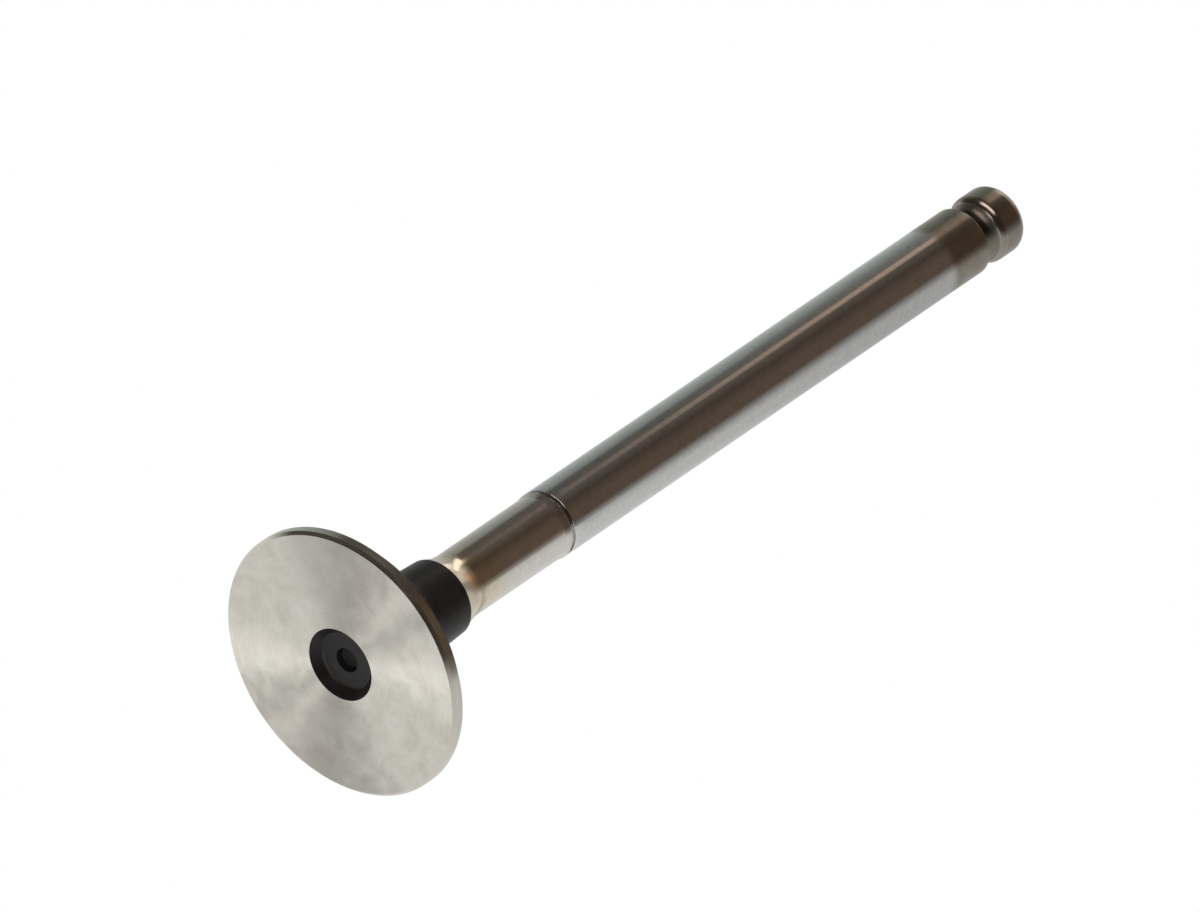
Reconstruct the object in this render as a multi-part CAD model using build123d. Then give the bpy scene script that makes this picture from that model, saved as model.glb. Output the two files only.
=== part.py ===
from build123d import *

import os
from math import cos, radians, sin, sqrt, tan

# Exhaust valve of a car engine, forged and turned from one piece of steel.
# The axis is Z, the combustion face lies on Z = 0 and the stem points up.
# Heights are measured from the face, and radii and diameters from the axis.

# Main sizes
valve_length = 115.0
stem_diameter = 8.0
head_diameter = 31.5

# Head: chamfered margin, seat cone and sloping back
face_chamfer = 0.35
margin_height = 1.35
seat_angle = 45.0  # from the plane of the face
seat_width = 2.2  # along the cone
back_angle = 16.0  # from the plane of the face
tulip_radius = 9.0  # between the back and the neck

# Forged dimple in the combustion face, with a blind hole in its floor
dimple_diameter = 8.6
dimple_depth = 1.15
dimple_wall_angle = 41.0  # from the axis
dimple_floor_fillet = 0.7
hole_diameter = 2.9
hole_depth = 0.85
hole_draft = 14.0  # from the axis
hole_floor_fillet = 0.3

# Neck, left as forged up to a crisp edge, and the cone down to the lower stem
neck_edge_height = 16.8
neck_edge_rise = 0.765  # radius of the neck's edge over the lower stem
neck_taper = 3.2  # from the axis
runout_angle = 21.0  # from the axis
runout_fillet = 8.0

# Lower stem, ground thinner than the guided stem, up to a scraper edge
relief_depth = 0.16
scraper_height = 35.65
lead_length = 0.8
land_drop = 0.01  # radius of the land under the guided stem
land_length = 0.1
scraper_groove_width = 0.55
scraper_groove_depth = 0.28
scraper_rounding = 0.06

# Keeper groove and tip
groove_to_tip = 5.5  # from the groove's middle to the end
groove_radius = 1.35
groove_depth = 1.1
groove_edge_fillet = 0.15  # at the stem's side
button_edge_fillet = 1.1  # at the tip's side
tip_rounding = 1.35

stem_radius = stem_diameter / 2
head_radius = head_diameter / 2
lower_radius = stem_radius - relief_depth
neck_edge_radius = lower_radius + neck_edge_rise
runout_height = neck_edge_height + neck_edge_rise / tan(radians(runout_angle))

dimple_radius = dimple_diameter / 2
dimple_floor_radius = dimple_radius - dimple_depth * tan(radians(dimple_wall_angle))
hole_radius = hole_diameter / 2
hole_floor_radius = hole_radius - hole_depth * tan(radians(hole_draft))
hole_floor_height = dimple_depth + hole_depth

seat_inner_radius = head_radius - seat_width * cos(radians(seat_angle))
seat_top = margin_height + seat_width * sin(radians(seat_angle))

land_radius = stem_radius - land_drop
lead_height = scraper_height - scraper_groove_width - land_length - lead_length
groove_floor_radius = land_radius - scraper_groove_depth

groove_height = valve_length - groove_to_tip
groove_half_width = sqrt(groove_radius**2 - (groove_radius - groove_depth) ** 2)


def tulip_corner():
    """Point where the back of the head would meet the neck without its fillet."""
    taper = tan(radians(neck_taper))
    slope = tan(radians(back_angle))
    rise_at_axis = neck_edge_height - seat_top - slope * seat_inner_radius
    radius = (neck_edge_radius + taper * rise_at_axis) / (1 - taper * slope)
    return (radius, seat_top + slope * (seat_inner_radius - radius))


def dimple_outline():
    """Blind hole, floor and sloping wall, from the axis out to the face."""
    return Polyline(
        (0, hole_floor_height),
        (hole_floor_radius, hole_floor_height),
        (hole_radius, dimple_depth),
        (dimple_floor_radius, dimple_depth),
        (dimple_radius, 0),
    )


def head_outline():
    """Flat face, chamfer, upright margin, seat cone and back of the head."""
    return Polyline(
        (dimple_radius, 0),
        (head_radius - face_chamfer, 0),
        (head_radius, face_chamfer),
        (head_radius, margin_height),
        (seat_inner_radius, seat_top),
        tulip_corner(),
    )


def neck_outline():
    """Slender cone of the forged neck, then the steeper one to the lower stem."""
    return Polyline(
        tulip_corner(),
        (neck_edge_radius, neck_edge_height),
        (lower_radius, runout_height),
    )


def scraper_outline():
    """Lower stem, lead cone and land, then the narrow groove and scraper edge."""
    groove_start = scraper_height - scraper_groove_width
    return Polyline(
        (lower_radius, runout_height),
        (lower_radius, lead_height),
        (land_radius, lead_height + lead_length),
        (land_radius, groove_start),
        (groove_floor_radius, groove_start),
        (groove_floor_radius, scraper_height),
        (stem_radius, scraper_height),
    )


def tip_outline():
    """Guided stem, half-round keeper groove, button and flat end."""
    groove_start = (stem_radius, groove_height - groove_half_width)
    groove_middle = (stem_radius - groove_depth, groove_height)
    groove_end = (stem_radius, groove_height + groove_half_width)
    stem = Line((stem_radius, scraper_height), groove_start)
    groove = ThreePointArc(groove_start, groove_middle, groove_end)
    button = Polyline(groove_end, (stem_radius, valve_length), (0, valve_length))
    return stem + groove + button


def rounded(section, corner, radius):
    """The section with the corner at one point of its outline rounded off."""
    vertex = section.vertices().sort_by_distance((*corner, 0))[0]
    return fillet(vertex, radius)


def half_section():
    """The turned outline from the axis round to the axis, with its fillets."""
    axis_line = Line((0, valve_length), (0, hole_floor_height))
    outline = dimple_outline() + head_outline() + neck_outline()
    outline = outline + scraper_outline() + tip_outline() + axis_line
    section = make_face(outline)
    section = rounded(section, (hole_floor_radius, hole_floor_height), hole_floor_fillet)
    section = rounded(section, (dimple_floor_radius, dimple_depth), dimple_floor_fillet)
    section = rounded(section, tulip_corner(), tulip_radius)
    section = rounded(section, (lower_radius, runout_height), runout_fillet)
    section = rounded(section, (stem_radius, scraper_height), scraper_rounding)
    groove_start = (stem_radius, groove_height - groove_half_width)
    groove_end = (stem_radius, groove_height + groove_half_width)
    section = rounded(section, groove_start, groove_edge_fillet)
    section = rounded(section, groove_end, button_edge_fillet)
    return rounded(section, (stem_radius, valve_length), tip_rounding)


valve = revolve(Plane.XZ * half_section(), Axis.Z)
valve.label = "valve"

os.makedirs("parts", exist_ok=True)
export_step(valve, "parts/valve.step")
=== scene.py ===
from math import atan2, ceil, cos, degrees, hypot, pi, radians, sin, sqrt, tan

import bpy
from mathutils import Matrix, Vector


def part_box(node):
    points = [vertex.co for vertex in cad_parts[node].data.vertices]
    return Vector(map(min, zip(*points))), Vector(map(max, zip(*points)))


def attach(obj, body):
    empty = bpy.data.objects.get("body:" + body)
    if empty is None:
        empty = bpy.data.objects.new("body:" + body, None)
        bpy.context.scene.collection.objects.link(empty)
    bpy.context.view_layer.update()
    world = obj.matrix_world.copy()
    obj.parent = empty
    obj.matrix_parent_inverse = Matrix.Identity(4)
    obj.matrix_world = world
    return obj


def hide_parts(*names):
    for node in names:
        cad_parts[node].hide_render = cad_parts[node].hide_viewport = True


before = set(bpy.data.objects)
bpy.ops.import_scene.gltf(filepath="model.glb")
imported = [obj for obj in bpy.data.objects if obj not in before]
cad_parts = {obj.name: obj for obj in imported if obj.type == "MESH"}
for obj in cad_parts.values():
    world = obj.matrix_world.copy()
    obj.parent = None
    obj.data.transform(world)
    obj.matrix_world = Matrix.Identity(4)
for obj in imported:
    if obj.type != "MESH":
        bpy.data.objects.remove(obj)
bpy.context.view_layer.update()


# Dimple: a shallow dish with a blind hole, pressed into the middle of the face by
# the forging die. It is steel with its black forge scale left on, because the
# turning tool that cuts the face never reaches into it.
mm = 0.001  # metres; the valve's own sizes are in millimetres and degrees
dimple_diameter = 8.6
dimple_depth = 1.15
dimple_wall_angle = 41.0  # from the axis
dimple_floor_rounding = 0.7
hole_diameter = 2.9
hole_depth = 0.85
hole_draft = 14.0  # from the axis
hole_floor_rounding = 0.3

outline = []  # (radius, height, finish) in mm, from the dimple round to the tip
finishes = []  # materials, in the order in which the outline meets them
longest_run = 1.0  # mm between points on a straight run
finest_turn = radians(4.0)  # between points on a curve


def turn_about(centre, radius, start_angle, end_angle):
    """Points of an arc in the outline's plane, both ends included."""
    count = max(1, ceil(abs(end_angle - start_angle) / finest_turn))
    angles = [start_angle + (end_angle - start_angle) * i / count for i in range(count + 1)]
    return [(centre[0] + radius * cos(a), centre[1] + radius * sin(a)) for a in angles]


def rounded_corner(before, corner, after, rounding):
    """Points that carry the outline round one corner."""
    if not rounding:
        return [tuple(corner)]
    inward = (corner - before).normalized()
    outward = (after - corner).normalized()
    bend = atan2(inward.cross(outward), inward.dot(outward))
    side = 1 if bend > 0 else -1
    start = corner - inward * rounding * tan(abs(bend) / 2)
    centre = start + Vector((-inward.y, inward.x)) * rounding * side
    start_angle = atan2(start.y - centre.y, start.x - centre.x)
    return turn_about(centre, rounding, start_angle, start_angle + bend)


def add_path(finish, path):
    """Adds points in one finish to the outline, with more of them on long straight runs."""
    if finish not in finishes:
        finishes.append(finish)
    for (r0, z0), (r1, z1) in zip(path, path[1:]):
        steps = max(1, ceil(hypot(r1 - r0, z1 - z0) / longest_run))
        for i in range(steps):
            share = i / steps
            outline.append((r0 + (r1 - r0) * share, z0 + (z1 - z0) * share, finishes.index(finish)))


def cut(finish, *corners):
    """Adds the run through corners (radius, height, rounding) to the outline."""
    spots = [Vector(corner[:2]) for corner in corners]
    path = [tuple(spots[0])]
    for i in range(1, len(spots) - 1):
        rounding = corners[i][2] if len(corners[i]) > 2 else 0
        path += rounded_corner(spots[i - 1], spots[i], spots[i + 1], rounding)
    path.append(tuple(spots[-1]))
    add_path(finish, path)


def linear(code, strength=1.0):
    """Linear colour of an sRGB hex code, times a strength, with an alpha of 1."""
    parts = [int(code[i : i + 2], 16) / 255 for i in (1, 3, 5)]
    light = [p / 12.92 if p <= 0.04045 else ((p + 0.055) / 1.055) ** 2.4 for p in parts]
    return (*[part * strength for part in light], 1.0)


def feed(tree, node, inputs):
    """Sets a node's inputs to values, or links them to the sockets that feed them."""
    for key, value in inputs.items():
        if isinstance(value, bpy.types.NodeSocket):
            tree.links.new(value, node.inputs[key])
        else:
            node.inputs[key].default_value = value


def add_node(tree, kind, inputs=None, **settings):
    """One node with its settings; its inputs are values or the sockets that feed them."""
    made = tree.nodes.new(kind)
    for name, value in settings.items():
        setattr(made, name, value)
    feed(tree, made, inputs or {})
    return made


def new_finish(name):
    """An empty material with its tree, its shader and the Object coordinates."""
    material = bpy.data.materials.new(name)
    material.use_nodes = True
    tree = material.node_tree
    tree.nodes.clear()
    place = add_node(tree, "ShaderNodeTexCoord").outputs["Object"]
    shader = add_node(tree, "ShaderNodeBsdfPrincipled")
    add_node(tree, "ShaderNodeOutputMaterial", {"Surface": shader.outputs[0]})
    return material, tree, shader, place


# Forge scale is black iron oxide that grows on hot steel. It is nearly black with a
# dull sheen, mottled brown where it is thin, and has a faint grain from the die.
forge_scale, tree, shader, place = new_finish("forge_scale")
grain = add_node(
    tree, "ShaderNodeTexNoise",
    {"Vector": place, "Scale": 1 / (0.3 * mm), "Detail": 4.0, "Roughness": 0.6},
)
patches = add_node(
    tree, "ShaderNodeTexNoise",
    {"Vector": place, "Scale": 1 / (3.0 * mm), "Detail": 4.0, "Roughness": 0.55},
)
tint = add_node(tree, "ShaderNodeValToRGB", {"Fac": patches.outputs["Fac"]})
tint.color_ramp.elements[0].position = 0.35
tint.color_ramp.elements[0].color = linear("#0D0C0C")
tint.color_ramp.elements[1].position = 0.7
tint.color_ramp.elements[1].color = linear("#1D1714")
dullness = add_node(
    tree, "ShaderNodeMapRange", {"Value": patches.outputs["Fac"], "To Min": 0.3, "To Max": 0.42}
)
relief = add_node(
    tree, "ShaderNodeBump",
    {"Height": grain.outputs["Fac"], "Strength": 0.3, "Distance": 0.02 * mm},
)
feed(tree, shader, {
    "Base Color": tint.outputs["Color"],
    "Roughness": dullness.outputs[0],
    "IOR": 1.5,
    "Specular IOR Level": 0.22,
    "Normal": relief.outputs["Normal"],
})

# Soot over the scale in the blind hole, where nothing wipes it off: matt black, with
# a few paler specks.
sooted_scale, tree, shader, place = new_finish("sooted_scale")
specks = add_node(
    tree, "ShaderNodeTexNoise",
    {"Vector": place, "Scale": 1 / (0.4 * mm), "Detail": 4.0, "Roughness": 0.6},
)
tint = add_node(
    tree, "ShaderNodeMix",
    {"Factor": specks.outputs["Fac"], "A": linear("#0C0C0C"), "B": linear("#1E1B1A")},
    data_type="RGBA",
)
dullness = add_node(
    tree, "ShaderNodeMapRange", {"Value": specks.outputs["Fac"], "To Min": 0.5, "To Max": 0.7}
)
feed(tree, shader, {
    "Base Color": tint.outputs["Result"],
    "Roughness": dullness.outputs[0],
    "IOR": 1.5,
    "Specular IOR Level": 0.18,
})

dimple_radius = dimple_diameter / 2
dimple_floor_radius = dimple_radius - dimple_depth * tan(radians(dimple_wall_angle))
hole_radius = hole_diameter / 2
hole_floor_radius = hole_radius - hole_depth * tan(radians(hole_draft))
cut(
    sooted_scale,
    (0, dimple_depth + hole_depth),
    (hole_floor_radius, dimple_depth + hole_depth, hole_floor_rounding),
    (hole_radius, dimple_depth),
)
cut(
    forge_scale,
    (hole_radius, dimple_depth),
    (dimple_floor_radius, dimple_depth, dimple_floor_rounding),
    (dimple_radius, 0),
)


# Combustion face: the flat front of the head, faced off in a lathe. Bare steel with
# fine rings left by the tool, so that it shines in soft sectors that fan out from
# the middle.
head_diameter = 31.5
face_chamfer = 0.35


def ring_direction(tree, place):
    """Which way a circle round the axis runs at each point."""
    run = add_node(
        tree, "ShaderNodeVectorMath", {0: (0.0, 0.0, 1.0), 1: place}, operation="CROSS_PRODUCT"
    )
    unit = add_node(tree, "ShaderNodeVectorMath", {0: run.outputs[0]}, operation="NORMALIZE")
    return unit.outputs[0]


def tool_marks(tree, place, width, arc):
    """Brightness of streaks along circles round the axis, which lie a width apart.

    Each streak changes about 6 x arc times on its way round.
    """
    flat = add_node(
        tree, "ShaderNodeVectorMath", {0: place, 1: (1.0, 1.0, 0.0)}, operation="MULTIPLY"
    )
    spoke = add_node(tree, "ShaderNodeVectorMath", {0: flat.outputs[0]}, operation="NORMALIZE")
    reach = add_node(tree, "ShaderNodeVectorMath", {0: flat.outputs[0]}, operation="LENGTH")
    height = add_node(tree, "ShaderNodeSeparateXYZ", {0: place}).outputs["Z"]
    across = add_node(tree, "ShaderNodeMath", {0: reach.outputs["Value"], 1: height}, operation="ADD")
    lines = add_node(tree, "ShaderNodeMath", {0: across.outputs[0], 1: width}, operation="DIVIDE")
    lifted = add_node(tree, "ShaderNodeCombineXYZ", {"Z": lines.outputs[0]})
    streak_place = add_node(
        tree, "ShaderNodeVectorMath",
        {0: spoke.outputs[0], 1: (arc, arc, 0.0), 2: lifted.outputs[0]},
        operation="MULTIPLY_ADD",
    )
    streaks = add_node(
        tree, "ShaderNodeTexNoise",
        {"Vector": streak_place.outputs[0], "Scale": 1.0, "Detail": 3.0, "Roughness": 0.6},
    )
    return streaks.outputs["Fac"]


# Faced steel: the tool's rings are about 0.1 mm apart, too fine to show, so they are
# drawn 0.3 mm apart. They throw the light out along the spokes, in soft sectors whose
# edges wander where the cut is uneven. Clouds of handling marks lie over them.
turned_face, tree, shader, place = new_finish("turned_face")
rings = tool_marks(tree, place, 0.3 * mm, 2.5)
clouds = add_node(
    tree, "ShaderNodeTexNoise",
    {"Vector": place, "Scale": 1 / (3.0 * mm), "Detail": 6.0, "Roughness": 0.62, "Distortion": 0.4},
)
uneven = add_node(
    tree, "ShaderNodeVectorMath",
    {0: clouds.outputs["Color"], 1: (0.5, 0.5, 0.5), 2: ring_direction(tree, place)},
    operation="MULTIPLY_ADD",
)
lay = add_node(
    tree, "ShaderNodeVectorMath", {0: uneven.outputs[0], 1: (0.25, 0.25, 0.25)}, operation="SUBTRACT"
)
tone = add_node(tree, "ShaderNodeMix", {"Factor": 0.7, "A": rings, "B": clouds.outputs["Fac"]})
tint = add_node(tree, "ShaderNodeValToRGB", {"Fac": tone.outputs[0]})
tint.color_ramp.elements[0].position = 0.33
tint.color_ramp.elements[0].color = linear("#C9C5BA")
tint.color_ramp.elements[1].position = 0.67
tint.color_ramp.elements[1].color = linear("#E4E1D7")
dullness = add_node(tree, "ShaderNodeMapRange", {"Value": rings, "To Min": 0.4, "To Max": 0.5})
relief = add_node(
    tree, "ShaderNodeBump", {"Height": rings, "Strength": 0.1, "Distance": 0.01 * mm}
)
feed(tree, shader, {
    "Base Color": tint.outputs["Color"],
    "Metallic": 1.0,
    "Roughness": dullness.outputs[0],
    "Anisotropic": 1.0,
    "Anisotropic Rotation": 0.25,
    "Tangent": lay.outputs[0],
    "Normal": relief.outputs["Normal"],
})

head_radius = head_diameter / 2
cut(turned_face, (dimple_radius, 0), (head_radius - face_chamfer, 0))


# Margin and seat: the upright rim of the head and the 45 degree cone that closes
# the port. Both are ground, and the seat is then lapped. A small chamfer takes off
# the sharp front edge.
margin_height = 1.35
seat_angle = 45.0
seat_width = 2.2

# Ground steel: cleaner than the face and half bright, with fine lines round the rim.
# Real grinding lines are closer than 0.05 mm, too fine to show. On the rim they are
# drawn 0.15 mm apart, and on the stem 0.2 mm.
ground_rim, tree, shader, place = new_finish("ground_rim")
lines = tool_marks(tree, place, 0.15 * mm, 2.0)
dullness = add_node(tree, "ShaderNodeMapRange", {"Value": lines, "To Min": 0.1, "To Max": 0.17})
tint = add_node(
    tree, "ShaderNodeMix",
    {"Factor": lines, "A": linear("#B7B2A6"), "B": linear("#CFCBC0")},
    data_type="RGBA",
)
feed(tree, shader, {
    "Base Color": tint.outputs["Result"],
    "Metallic": 1.0,
    "Roughness": dullness.outputs[0],
    "Anisotropic": 0.5,
    "Anisotropic Rotation": 0.25,
    "Tangent": ring_direction(tree, place),
})

# Lapped steel: the seat is rubbed in with grit paste, which leaves it matt and grey,
# with hardly any gleam where it is seen at a grazing angle.
lapped_seat, tree, shader, place = new_finish("lapped_seat")
grit = add_node(
    tree, "ShaderNodeTexNoise",
    {"Vector": place, "Scale": 1 / (0.5 * mm), "Detail": 4.0, "Roughness": 0.6},
)
tint = add_node(
    tree, "ShaderNodeMix",
    {"Factor": grit.outputs["Fac"], "A": linear("#87837B"), "B": linear("#A09C93")},
    data_type="RGBA",
)
feed(tree, shader, {
    "Base Color": tint.outputs["Result"],
    "Metallic": 1.0,
    "Roughness": 0.36,
    "Specular Tint": (0.0, 0.0, 0.0, 1.0),
})

seat_inner_radius = head_radius - seat_width * cos(radians(seat_angle))
seat_top = margin_height + seat_width * sin(radians(seat_angle))
cut(
    ground_rim,
    (head_radius - face_chamfer, 0),
    (head_radius, face_chamfer),
    (head_radius, margin_height),
)
cut(lapped_seat, (head_radius, margin_height), (seat_inner_radius, seat_top))


# Back and neck: the tulip shape that the gas flows over, left black as forged. It
# ends in a crisp edge, where the grinding of the stem begins.
back_angle = 16.0  # from the face
tulip_rounding = 9.0
neck_edge_height = 16.8
neck_edge_radius = 4.605
neck_taper = 3.2  # from the axis

# The tulip rounds off the corner where the neck's taper meets the slope of the back.
# rise_at_axis is the height of the neck's edge over that slope's meeting with the axis.
taper = tan(radians(neck_taper))
slope = tan(radians(back_angle))
rise_at_axis = neck_edge_height - seat_top - slope * seat_inner_radius
tulip_radius = (neck_edge_radius + taper * rise_at_axis) / (1 - taper * slope)
tulip_height = seat_top + slope * (seat_inner_radius - tulip_radius)
cut(
    forge_scale,
    (seat_inner_radius, seat_top),
    (tulip_radius, tulip_height, tulip_rounding),
    (neck_edge_radius, neck_edge_height),
)


# Lower stem: ground thinner than the guided stem, from the cone that runs out of
# the neck to the scraper edge, which keeps soot out of the guide.
stem_radius = 4.0
lower_radius = 3.84
runout_angle = 21.0  # from the axis
runout_rounding = 8.0
scraper_height = 35.65
scraper_groove_width = 0.55
scraper_groove_depth = 0.28
land_length = 0.1  # of the narrow band between the lead cone and the scraper groove
land_drop = 0.01  # of that band, under the guided stem's surface
lead_length = 0.8
straw_start = 19.5  # the height below which the straw tint is full
straw_end = 27.0
scraper_grey_start = 1.7  # below the scraper edge
scraper_grey_full = 0.5

# Finely ground steel: almost a mirror, a little warmer than the chrome above it, with
# faint lines round the stem and soft stains. Heat has tinted it straw by the neck, and
# it is an even, slightly darker grey just under the scraper edge.
ground_steel, tree, shader, place = new_finish("ground_steel")
lines = tool_marks(tree, place, 0.2 * mm, 1.5)
stains = add_node(
    tree, "ShaderNodeTexNoise",
    {"Vector": place, "Scale": 1 / (1.1 * mm), "Detail": 6.0, "Roughness": 0.72},
)
dullness = add_node(tree, "ShaderNodeMapRange", {"Value": lines, "To Min": 0.08, "To Max": 0.13})
tint = add_node(
    tree, "ShaderNodeMix",
    {"Factor": stains.outputs["Fac"], "A": linear("#BDB7B0"), "B": linear("#E2DDD7")},
    data_type="RGBA",
)
height = add_node(tree, "ShaderNodeSeparateXYZ", {0: place}).outputs["Z"]
# An even, slightly darker grey just under the scraper edge.
scraper_grey = add_node(
    tree, "ShaderNodeMapRange",
    {
        "Value": height,
        "From Min": (scraper_height - scraper_grey_start) * mm,
        "From Max": (scraper_height - scraper_grey_full) * mm,
    },
    interpolation_type="SMOOTHSTEP",
)
shaded = add_node(
    tree, "ShaderNodeMix",
    {"Factor": scraper_grey.outputs[0], "A": tint.outputs["Result"], "B": linear("#C6C1BA")},
    data_type="RGBA",
)
straw = add_node(
    tree, "ShaderNodeMapRange",
    {"Value": height, "From Min": straw_end * mm, "From Max": straw_start * mm},
    interpolation_type="SMOOTHSTEP",
)
heated = add_node(
    tree, "ShaderNodeMix",
    {"Factor": straw.outputs[0], "A": shaded.outputs["Result"], "B": linear("#FFF8E7")},
    data_type="RGBA", blend_type="MULTIPLY",
)
relief = add_node(
    tree, "ShaderNodeBump", {"Height": stains.outputs["Fac"], "Strength": 0.06, "Distance": 0.01 * mm}
)
feed(tree, shader, {
    "Base Color": heated.outputs["Result"],
    "Metallic": 1.0,
    "Roughness": dullness.outputs[0],
    "Anisotropic": 0.5,
    "Anisotropic Rotation": 0.25,
    "Tangent": ring_direction(tree, place),
    "Normal": relief.outputs["Normal"],
})

land_radius = stem_radius - land_drop
scraper_groove_start = scraper_height - scraper_groove_width
scraper_groove_radius = land_radius - scraper_groove_depth
lead_height = scraper_groove_start - land_length - lead_length
runout_height = neck_edge_height + (neck_edge_radius - lower_radius) / tan(radians(runout_angle))
cut(
    ground_steel,
    (neck_edge_radius, neck_edge_height),
    (lower_radius, runout_height, runout_rounding),
    (lower_radius, lead_height),
    (land_radius, lead_height + lead_length),
    (land_radius, scraper_groove_start),
    (scraper_groove_radius, scraper_groove_start),
    (scraper_groove_radius, scraper_height),
)


# Guided stem: the length that runs in the valve guide. It is plated with a hard
# chrome layer a few microns thick and ground to size, which gives a near mirror.
scraper_rounding = 0.06
plating_end = 101.4

# Hard chrome, ground: a cool, clear mirror. Only faint grinding lines and the film
# that handling leaves make it vary.
hard_chrome, tree, shader, place = new_finish("hard_chrome")
lines = tool_marks(tree, place, 0.2 * mm, 1.5)
film = add_node(
    tree, "ShaderNodeTexNoise",
    {"Vector": place, "Scale": 1 / (0.7 * mm), "Detail": 6.0, "Roughness": 0.75},
)
dullness = add_node(tree, "ShaderNodeMapRange", {"Value": lines, "To Min": 0.07, "To Max": 0.12})
tint = add_node(
    tree, "ShaderNodeMix",
    {"Factor": film.outputs["Fac"], "A": linear("#B2B2B0"), "B": linear("#DFDFDE")},
    data_type="RGBA",
)
relief = add_node(
    tree, "ShaderNodeBump", {"Height": film.outputs["Fac"], "Strength": 0.08, "Distance": 0.006 * mm}
)
feed(tree, shader, {
    "Base Color": tint.outputs["Result"],
    "Metallic": 1.0,
    "Roughness": dullness.outputs[0],
    "Anisotropic": 0.5,
    "Anisotropic Rotation": 0.25,
    "Tangent": ring_direction(tree, place),
    "Normal": relief.outputs["Normal"],
})

cut(
    hard_chrome,
    (scraper_groove_radius, scraper_height),
    (stem_radius, scraper_height, scraper_rounding),
    (stem_radius, plating_end),
)


# Tip: bare of chrome, with the half-round groove for the split keepers and a
# button that the rocker presses. It is hardened, which browns the steel.
node_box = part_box("valve")
valve_length = node_box[1].z / mm
groove_to_tip = 5.5
groove_radius = 1.35
groove_depth = 1.1
lip_rounding = 0.15
button_rounding = 1.1
tip_rounding = 1.35
plating_fade = 1.6

# Hardened steel without chrome: the same mirror, browner and duller. The chrome
# thins out over the first millimetre and a half, because the masking lets some by.
hardened_tip, tree, shader, place = new_finish("hardened_tip")
stains = add_node(
    tree, "ShaderNodeTexNoise",
    {"Vector": place, "Scale": 1 / (1.2 * mm), "Detail": 4.0, "Roughness": 0.6},
)
height = add_node(tree, "ShaderNodeSeparateXYZ", {0: place}).outputs["Z"]
bare = add_node(
    tree, "ShaderNodeMapRange",
    {"Value": height, "From Min": plating_end * mm, "From Max": (plating_end + plating_fade) * mm},
    interpolation_type="SMOOTHSTEP",
)
steel = add_node(
    tree, "ShaderNodeMix",
    {"Factor": stains.outputs["Fac"], "A": linear("#837C70"), "B": linear("#9A9388")},
    data_type="RGBA",
)
tint = add_node(
    tree, "ShaderNodeMix",
    {"Factor": bare.outputs[0], "A": linear("#CACAC8"), "B": steel.outputs["Result"]},
    data_type="RGBA",
)
dullness = add_node(
    tree, "ShaderNodeMapRange", {"Value": bare.outputs[0], "To Min": 0.095, "To Max": 0.2}
)
relief = add_node(
    tree, "ShaderNodeBump", {"Height": stains.outputs["Fac"], "Strength": 0.03, "Distance": 0.01 * mm}
)
feed(tree, shader, {
    "Base Color": tint.outputs["Result"],
    "Metallic": 1.0,
    "Roughness": dullness.outputs[0],
    "Anisotropic": 0.3,
    "Anisotropic Rotation": 0.25,
    "Tangent": ring_direction(tree, place),
    "Normal": relief.outputs["Normal"],
})

# The groove's hollow is left as the form tool cut it: darker and duller than the
# ground steel beside it, with clearer rings. Its lower half is painted darker on one
# side, as painted shade that dims what it mirrors there.
groove_height = valve_length - groove_to_tip
shade_ends_above = 0.75  # over the groove's middle
shade_full_below = 0.3
shade_ends_beyond = 1.6  # from the axis, towards the side without painted shade
shade_full_within = 0.4
cut_groove, tree, shader, place = new_finish("cut_groove")
lines = tool_marks(tree, place, 0.12 * mm, 1.5)
dullness = add_node(tree, "ShaderNodeMapRange", {"Value": lines, "To Min": 0.38, "To Max": 0.46})
tint = add_node(
    tree, "ShaderNodeMix",
    {"Factor": lines, "A": linear("#6E695F"), "B": linear("#8A8479")},
    data_type="RGBA",
)
spot = add_node(tree, "ShaderNodeSeparateXYZ", {0: place})
low_down = add_node(
    tree, "ShaderNodeMapRange",
    {
        "Value": spot.outputs["Z"],
        "From Min": (groove_height + shade_ends_above) * mm,
        "From Max": (groove_height + shade_full_below) * mm,
    },
    interpolation_type="SMOOTHSTEP",
)
shade_side = add_node(
    tree, "ShaderNodeMapRange",
    {"Value": spot.outputs["X"], "From Min": shade_ends_beyond * mm, "From Max": shade_full_within * mm},
    interpolation_type="SMOOTHSTEP",
)
# Painted shade: a mask for the darker lower half of the hollow, on one side.
painted_shade = add_node(
    tree, "ShaderNodeMath", {0: low_down.outputs[0], 1: shade_side.outputs[0]}, operation="MULTIPLY"
)
shaded_hollow = add_node(
    tree, "ShaderNodeMix",
    {"Factor": painted_shade.outputs[0], "A": tint.outputs["Result"], "B": linear("#3A3631")},
    data_type="RGBA",
)
relief = add_node(tree, "ShaderNodeBump", {"Height": lines, "Strength": 0.02, "Distance": 0.01 * mm})
feed(tree, shader, {
    "Base Color": shaded_hollow.outputs["Result"],
    "Metallic": 1.0,
    "Roughness": dullness.outputs[0],
    "Anisotropic": 0.3,
    "Anisotropic Rotation": 0.25,
    "Tangent": ring_direction(tree, place),
    "Normal": relief.outputs["Normal"],
})

hollow_centre = stem_radius - groove_depth + groove_radius


def groove_lip(rounding):
    """Where one lip's arc is centred, and how far round it and the hollow turn there."""
    centre = stem_radius - rounding
    offset = sqrt((groove_radius + rounding) ** 2 - (hollow_centre - centre) ** 2)
    return centre, offset, atan2(offset, hollow_centre - centre)


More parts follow.
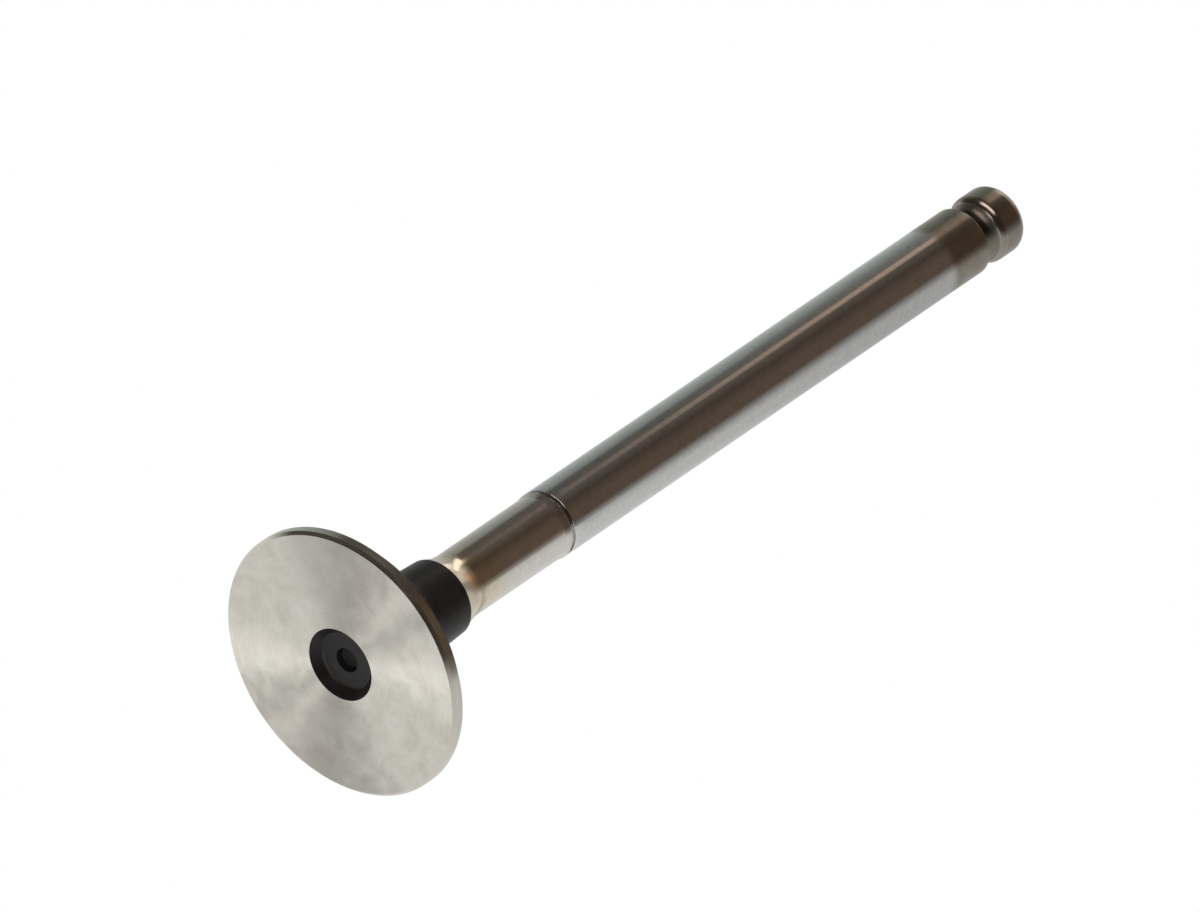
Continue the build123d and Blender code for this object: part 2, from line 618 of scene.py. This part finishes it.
lip_centre, lip_offset, lip_turn = groove_lip(lip_rounding)
button_centre, button_offset, button_turn = groove_lip(button_rounding)
lip = turn_about((lip_centre, groove_height - lip_offset), lip_rounding, 0, lip_turn)
hollow = turn_about((hollow_centre, groove_height), groove_radius, pi + lip_turn, pi - button_turn)
button = turn_about((button_centre, groove_height + button_offset), button_rounding, -button_turn, 0)
cut(hardened_tip, (stem_radius, plating_end), lip[0])
add_path(hardened_tip, lip)
add_path(cut_groove, lip[-1:] + hollow[1:-1] + button[:1])
add_path(hardened_tip, button)
cut(
    hardened_tip,
    button[-1],
    (stem_radius, valve_length, tip_rounding),
    (0, valve_length),
)


# The whole valve: one forging turned about its axis, so its skin is the outline
# swept once round. The steps round are fine enough for the chrome to mirror
# cleanly.
steps_round = 192
seam_gap = 0.0002  # points of the seam and the poles that lie closer together are joined
crisp_bend = 5.5  # edges where the skin turns by more than this stay sharp

profile = bpy.data.meshes.new("valve_outline")
points = [(r * mm, 0, z * mm) for r, z, _ in outline] + [(0, 0, valve_length * mm)]
profile.from_pydata(points, [(i, i + 1) for i in range(len(points) - 1)], [])
zone = profile.attributes.new("finish", "INT", "POINT")
zone.data.foreach_set("value", [f for _, _, f in outline] + [outline[-1][2]])
profile_object = bpy.data.objects.new("valve_outline", profile)
bpy.context.scene.collection.objects.link(profile_object)

lathe = bpy.data.node_groups.new("lathe", "GeometryNodeTree")
lathe.interface.new_socket("Outline", in_out="INPUT", socket_type="NodeSocketObject")
lathe.interface.new_socket("Steps round", in_out="INPUT", socket_type="NodeSocketInt")
lathe.interface.new_socket("Geometry", in_out="OUTPUT", socket_type="NodeSocketGeometry")
given = add_node(lathe, "NodeGroupInput")
source = add_node(lathe, "GeometryNodeObjectInfo", {"Object": given.outputs["Outline"]})
size = add_node(
    lathe, "GeometryNodeAttributeDomainSize", {"Geometry": source.outputs["Geometry"]}, component="MESH"
)
rows = size.outputs["Point Count"]
columns = add_node(lathe, "ShaderNodeMath", {0: given.outputs["Steps round"], 1: 1.0}, operation="ADD")
grid = add_node(lathe, "GeometryNodeMeshGrid", {"Vertices X": columns.outputs[0], "Vertices Y": rows})
index = add_node(lathe, "GeometryNodeInputIndex").outputs[0]
row = add_node(lathe, "ShaderNodeMath", {0: index, 1: rows}, operation="MODULO")
column_share = add_node(lathe, "ShaderNodeMath", {0: index, 1: rows}, operation="DIVIDE")
column = add_node(lathe, "ShaderNodeMath", {0: column_share.outputs[0]}, operation="FLOOR")
turn = add_node(
    lathe, "ShaderNodeMath", {0: column.outputs[0], 1: given.outputs["Steps round"]}, operation="DIVIDE"
)
angle = add_node(lathe, "ShaderNodeMath", {0: turn.outputs[0], 1: 2 * pi}, operation="MULTIPLY")
marked = add_node(
    lathe, "GeometryNodeStoreNamedAttribute",
    {"Geometry": grid.outputs["Mesh"], "Name": "row", "Value": row.outputs[0]},
    data_type="FLOAT", domain="POINT",
)
marked_turn = add_node(
    lathe, "GeometryNodeStoreNamedAttribute",
    {"Geometry": marked.outputs[0], "Name": "turn", "Value": angle.outputs[0]},
    data_type="FLOAT", domain="POINT",
)
row_read = add_node(
    lathe, "GeometryNodeInputNamedAttribute", {"Name": "row"}, data_type="FLOAT"
).outputs[0]
turn_read = add_node(
    lathe, "GeometryNodeInputNamedAttribute", {"Name": "turn"}, data_type="FLOAT"
).outputs[0]
own_place = add_node(lathe, "GeometryNodeInputPosition").outputs[0]
station = add_node(
    lathe, "GeometryNodeSampleIndex",
    {"Geometry": source.outputs["Geometry"], "Value": own_place, "Index": row_read},
    data_type="FLOAT_VECTOR", domain="POINT",
)
spun = add_node(
    lathe, "ShaderNodeVectorRotate",
    {"Vector": station.outputs[0], "Axis": (0.0, 0.0, 1.0), "Angle": turn_read},
    rotation_type="AXIS_ANGLE",
)
swept = add_node(
    lathe, "GeometryNodeSetPosition", {"Geometry": marked_turn.outputs[0], "Position": spun.outputs[0]}
)
closed = add_node(
    lathe, "GeometryNodeMergeByDistance", {"Geometry": swept.outputs[0], "Distance": seam_gap * mm}
)
made = add_node(lathe, "GeometryNodeRealizeInstances", {"Geometry": closed.outputs[0]})
lower_row = add_node(lathe, "ShaderNodeMath", {0: row_read}, operation="FLOOR")
finish_read = add_node(
    lathe, "GeometryNodeInputNamedAttribute", {"Name": "finish"}, data_type="INT"
).outputs[0]
band = add_node(
    lathe, "GeometryNodeSampleIndex",
    {"Geometry": source.outputs["Geometry"], "Value": finish_read, "Index": lower_row.outputs[0]},
    data_type="INT", domain="POINT",
)
skin = made.outputs[0]
for number, material in enumerate(finishes):
    chosen = add_node(
        lathe, "FunctionNodeCompare", {"A": band.outputs[0], "B": number},
        data_type="INT", operation="EQUAL",
    )
    skin = add_node(
        lathe, "GeometryNodeSetMaterial",
        {"Geometry": skin, "Selection": chosen.outputs[0], "Material": material},
    ).outputs[0]
add_node(lathe, "NodeGroupOutput", {"Geometry": skin})

blank = bpy.data.objects.new("blank", bpy.data.meshes.new("blank"))
bpy.context.scene.collection.objects.link(blank)
spin = blank.modifiers.new("lathe", "NODES")
spin.node_group = lathe
settings = {"Outline": profile_object, "Steps round": steps_round}
for socket in lathe.interface.items_tree:
    if socket.name in settings:
        spin[socket.identifier] = settings[socket.name]
bpy.context.view_layer.update()
depsgraph = bpy.context.evaluated_depsgraph_get()
turned = bpy.data.meshes.new_from_object(blank.evaluated_get(depsgraph), depsgraph=depsgraph)
turned.name = "turned_valve"
bpy.data.objects.remove(blank)
bpy.data.objects.remove(profile_object)
for name in ("row", "turn"):
    turned.attributes.remove(turned.attributes[name])
turned.polygons.foreach_set("use_smooth", [True] * len(turned.polygons))
turned.set_sharp_from_angle(angle=radians(crisp_bend))

turned_valve = bpy.data.objects.new("turned_valve", turned)
bpy.context.scene.collection.objects.link(turned_valve)
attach(turned_valve, "root")
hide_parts("valve")


# Studio: a round tent of cloth that only the metal mirrors, in a white surround. A
# dark brown screen stands on the camera's side, with white paper on the right and
# behind, grey cloth on the left and a pale roof. Its sizes are in metres.
tent_radius = 0.6
tent_low = -0.955
tent_high = 1.33
tent_peak = 2.0
tent_sides = 96

tent_mesh = bpy.data.meshes.new("tent")
rim = [2 * pi * i / tent_sides for i in range(tent_sides)]
corners = [(tent_radius * cos(a), tent_radius * sin(a), z) for z in (tent_low, tent_high) for a in rim]
corners.append((0, 0, tent_peak))
cloths = [tuple(range(tent_sides))]
for i in range(tent_sides):
    follows = (i + 1) % tent_sides
    cloths.append((i, follows, tent_sides + follows, tent_sides + i))
    cloths.append((tent_sides + i, tent_sides + follows, 2 * tent_sides))
tent_mesh.from_pydata(corners, [], cloths)
tent = bpy.data.objects.new("tent", tent_mesh)
bpy.context.scene.collection.objects.link(tent)
tent.visible_camera = False
tent.visible_diffuse = False
tent.visible_transmission = False
tent.visible_shadow = False

tent_cloth = bpy.data.materials.new("tent_cloth")
tent_cloth.use_nodes = True
tree = tent_cloth.node_tree
tree.nodes.clear()
place = add_node(tree, "ShaderNodeTexCoord").outputs["Object"]
parts = add_node(tree, "ShaderNodeSeparateXYZ", {0: place})
front = add_node(tree, "ShaderNodeMath", {0: parts.outputs["Y"], 1: -1.0}, operation="MULTIPLY")
turned_by = add_node(
    tree, "ShaderNodeMath", {0: parts.outputs["X"], 1: front.outputs[0]}, operation="ARCTAN2"
)
bearing = add_node(
    tree, "ShaderNodeMath", {0: turned_by.outputs[0], 1: degrees(1)}, operation="MULTIPLY"
).outputs[0]


def wall_cloth(*stops):
    """Cloth whose colour runs between stops (bearing from the camera's side, colour)."""
    share = add_node(
        tree, "ShaderNodeMapRange", {"Value": bearing, "From Min": -180.0, "From Max": 180.0}
    )
    cloth = add_node(tree, "ShaderNodeValToRGB", {"Fac": share.outputs[0]})
    while len(cloth.color_ramp.elements) < len(stops):
        cloth.color_ramp.elements.new(0.5)
    for element, (degrees_round, code) in zip(cloth.color_ramp.elements, stops):
        element.position = (degrees_round + 180) / 360
        element.color = linear(code)
    return cloth.outputs["Color"]


def hang_card(behind, colour, middle, half_width, soft, low, high, fade, blend="MIX"):
    """A card with soft edges before the cloth, or a gauze where blend is MULTIPLY.

    Its middle, half width and soft edge are bearings; low, high and fade are heights.
    """
    offset = add_node(tree, "ShaderNodeMath", {0: bearing, 1: middle}, operation="SUBTRACT")
    aside = add_node(tree, "ShaderNodeMath", {0: offset.outputs[0]}, operation="ABSOLUTE")
    sides = add_node(
        tree, "ShaderNodeMapRange",
        {"Value": aside.outputs[0], "From Min": half_width + soft, "From Max": half_width},
        interpolation_type="SMOOTHSTEP",
    )
    foot = add_node(
        tree, "ShaderNodeMapRange",
        {"Value": parts.outputs["Z"], "From Min": low - fade, "From Max": low},
        interpolation_type="SMOOTHSTEP",
    )
    head = add_node(
        tree, "ShaderNodeMapRange",
        {"Value": parts.outputs["Z"], "From Min": high + fade, "From Max": high},
        interpolation_type="SMOOTHSTEP",
    )
    upright = add_node(
        tree, "ShaderNodeMath", {0: foot.outputs[0], 1: head.outputs[0]}, operation="MULTIPLY"
    )
    cover = add_node(
        tree, "ShaderNodeMath", {0: upright.outputs[0], 1: sides.outputs[0]}, operation="MULTIPLY"
    )
    card = add_node(
        tree, "ShaderNodeMix", {"Factor": cover.outputs[0], "A": behind, "B": colour},
        data_type="RGBA", blend_type=blend,
    )
    return card.outputs[2]


def reaching(low, high, interpolation="SMOOTHSTEP"):
    """A share that grows from 0 to 1 between two heights."""
    return add_node(
        tree, "ShaderNodeMapRange",
        {"Value": parts.outputs["Z"], "From Min": low, "From Max": high},
        interpolation_type=interpolation,
    ).outputs[0]


lower = wall_cloth(
    (-180, "#FFFFFF"), (-132, "#FFFFFF"), (-118, "#5A5753"), (0, "#3A3531"), (44, "#4C4844"),
    (66, "#E4E4E4"), (120, "#FFFFFF"), (180, "#FFFFFF"),
)
upper = wall_cloth(
    (-180, "#DADEDB"), (-120, "#AAB0AD"), (-76, "#74726D"), (-38, "#5E584E"), (-19, "#4E443A"),
    (12, "#665649"), (42, "#65584E"), (60, "#A4A09C"), (84, "#D9D9D8"), (180, "#DADEDB"),
)
roof = wall_cloth(
    (-180, "#E7E7E7"), (-120, "#D2D2D2"), (-40, "#ECE7E0"), (0, "#DAD5CE"), (26, "#A6A29D"),
    (60, "#9E9B97"), (85, "#D0CECA"), (110, "#DCDAD6"), (180, "#E7E7E7"),
)
cloth = add_node(
    tree, "ShaderNodeMix", {"Factor": reaching(0.0, 0.41), "A": lower, "B": upper}, data_type="RGBA"
).outputs[2]
cloth = add_node(
    tree, "ShaderNodeMix", {"Factor": reaching(0.66, 1.33, "LINEAR"), "A": cloth, "B": roof},
    data_type="RGBA",
).outputs[2]

# Cards before the cloth give the metal more bands of light and dark. Those with a
# strength above 1 are lit, one is a gauze that warms what is behind it, and the last
# three lie on the tent's floor, where the valve's face mirrors them.
on_floor = (-2.0, -0.93, 0.02)  # low, high and fade, from under the floor to just over it
for card in (
    (linear("#5F5B55"), -70, 14, 14, 0.3, 0.55, 0.08),
    (linear("#EDF0EE"), 105, 38, 14, 0.3, 0.535, 0.04),
    (linear("#C2A795"), -56, 3, 9, 0.634, 0.8, 0.095),
    (linear("#BABABA"), 130, 50, 20, 0.63, 0.636, 0.05),
    (linear("#E6E6E2"), 130, 50, 20, 0.71, 0.86, 0.05),
    (linear("#FFDFD1"), 12, 26, 28, 0.85, 1.42, 0.15, "MULTIPLY"),
    (linear("#FFF6ED", 1.3), -114, 8, 16, 1.25, 1.42, 0.08),
    (linear("#FFF8EC", 1.7), -72, 6, 18, 0.74, 1.45, 0.09),
    (linear("#FFEEEE", 3.4), -38, 20, 9, -0.055, 0.085, 0.12),
    (linear("#FFFFFF", 0.6), -68, 18, 4, *on_floor),
    (linear("#FFFFFF", 2.8), -30, 18, 4, *on_floor),
    (linear("#FFFFFF", 2.5), 100, 46, 4, *on_floor),
):
    cloth = hang_card(cloth, *card)
glow = add_node(tree, "ShaderNodeEmission", {"Color": cloth, "Strength": 1.0})
add_node(tree, "ShaderNodeOutputMaterial", {"Surface": glow.outputs[0]})
tent_mesh.materials.append(tent_cloth)

surround = bpy.data.worlds.new("surround")
surround.use_nodes = True
tree = surround.node_tree
tree.nodes.clear()
white = add_node(tree, "ShaderNodeBackground", {"Color": linear("#FFFFFF"), "Strength": 1.0})
add_node(tree, "ShaderNodeOutputWorld", {"Surface": white.outputs[0]})
bpy.context.scene.world = surround

lamp_direction = Vector((-0.43, -0.08, 0.9)).normalized()
lamp_distance = 0.55
lamp_data = bpy.data.lights.new("soft_lamp", "AREA")
lamp_data.shape = "DISK"
lamp_data.size = 0.14
lamp_data.energy = 0.14
lamp_data.color = linear("#FFF1D6")[:3]
lamp = bpy.data.objects.new("soft_lamp", lamp_data)
lamp.location = lamp_direction * lamp_distance
lamp.rotation_euler = lamp_direction.to_track_quat("Z", "Y").to_euler()
lamp.visible_camera = False
lamp.visible_glossy = False
bpy.context.scene.collection.objects.link(lamp)


# Floor: a plain pale sheet under the valve, which clears towards its edges. It is seen
# only from above, because the photograph looks at the face from below.
floor_drop = 0.0002
floor_reach = 0.6
fade_start = 0.12  # from the middle
fade_end = 0.57

floor_mesh = bpy.data.meshes.new("floor")
floor_mesh.from_pydata(
    [(x * floor_reach, y * floor_reach, -floor_drop) for x, y in ((-1, -1), (1, -1), (1, 1), (-1, 1))],
    [], [(0, 1, 2, 3)],
)
floor = bpy.data.objects.new("floor", floor_mesh)
bpy.context.scene.collection.objects.link(floor)
floor.visible_diffuse = False
floor.visible_glossy = False
floor.visible_transmission = False
floor.visible_shadow = False

pale_sheet = bpy.data.materials.new("pale_sheet")
pale_sheet.use_nodes = True
tree = pale_sheet.node_tree
tree.nodes.clear()
place = add_node(tree, "ShaderNodeTexCoord").outputs["Object"]
reach = add_node(tree, "ShaderNodeVectorMath", {0: place}, operation="LENGTH")
fade = add_node(
    tree, "ShaderNodeMapRange",
    {"Value": reach.outputs["Value"], "From Min": fade_start, "From Max": fade_end},
    interpolation_type="SMOOTHSTEP",
)
under = add_node(tree, "ShaderNodeNewGeometry").outputs["Backfacing"]
hidden = add_node(tree, "ShaderNodeMath", {0: fade.outputs[0], 1: under}, operation="MAXIMUM")
sheet = add_node(tree, "ShaderNodeBsdfDiffuse", {"Color": linear("#F4F4F2")})
clear = add_node(tree, "ShaderNodeBsdfTransparent")
seen = add_node(
    tree, "ShaderNodeMixShader", {0: hidden.outputs[0], 1: sheet.outputs[0], 2: clear.outputs[0]}
)
add_node(tree, "ShaderNodeOutputMaterial", {"Surface": seen.outputs[0]})
floor_mesh.materials.append(pale_sheet)


# Camera: far off with a long lens, below the head and looking up at its face, and
# rolled until the stem climbs to the right as it does in the photograph.
photo_width = 1200
photo_height = 912
photo_scale = 9.307  # pixels of the photograph to a millimetre
face_centre_pixel = (340.3, 664.8)
axis_to_sight = radians(48.8)  # between the valve's axis and the line of sight
stem_climb = radians(34.25)  # of the stem over the picture's horizontal
focal_length = 1300.0

camera_data = bpy.data.cameras.new("camera")
camera_data.sensor_width = 36.0
camera_data.lens = focal_length
camera_data.clip_start = 0.1
camera_data.clip_end = 20.0
towards_camera = Vector((0, -sin(axis_to_sight), -cos(axis_to_sight)))
stem_in_picture = Vector((0, -cos(axis_to_sight), sin(axis_to_sight)))
across_stem = Vector((1, 0, 0))
picture_right = across_stem * sin(stem_climb) + stem_in_picture * cos(stem_climb)
picture_up = stem_in_picture * sin(stem_climb) - across_stem * cos(stem_climb)
distance = focal_length * photo_width / camera_data.sensor_width / photo_scale * mm
middle = (
    picture_right * (photo_width / 2 - face_centre_pixel[0])
    + picture_up * (face_centre_pixel[1] - photo_height / 2)
) * mm / photo_scale
camera = bpy.data.objects.new("camera", camera_data)
turned_to = Matrix((picture_right, picture_up, towards_camera)).transposed().to_4x4()
camera.matrix_world = Matrix.Translation(middle + towards_camera * distance) @ turned_to
bpy.context.scene.collection.objects.link(camera)
bpy.context.scene.camera = camera
bpy.context.scene.view_settings.view_transform = "Standard"
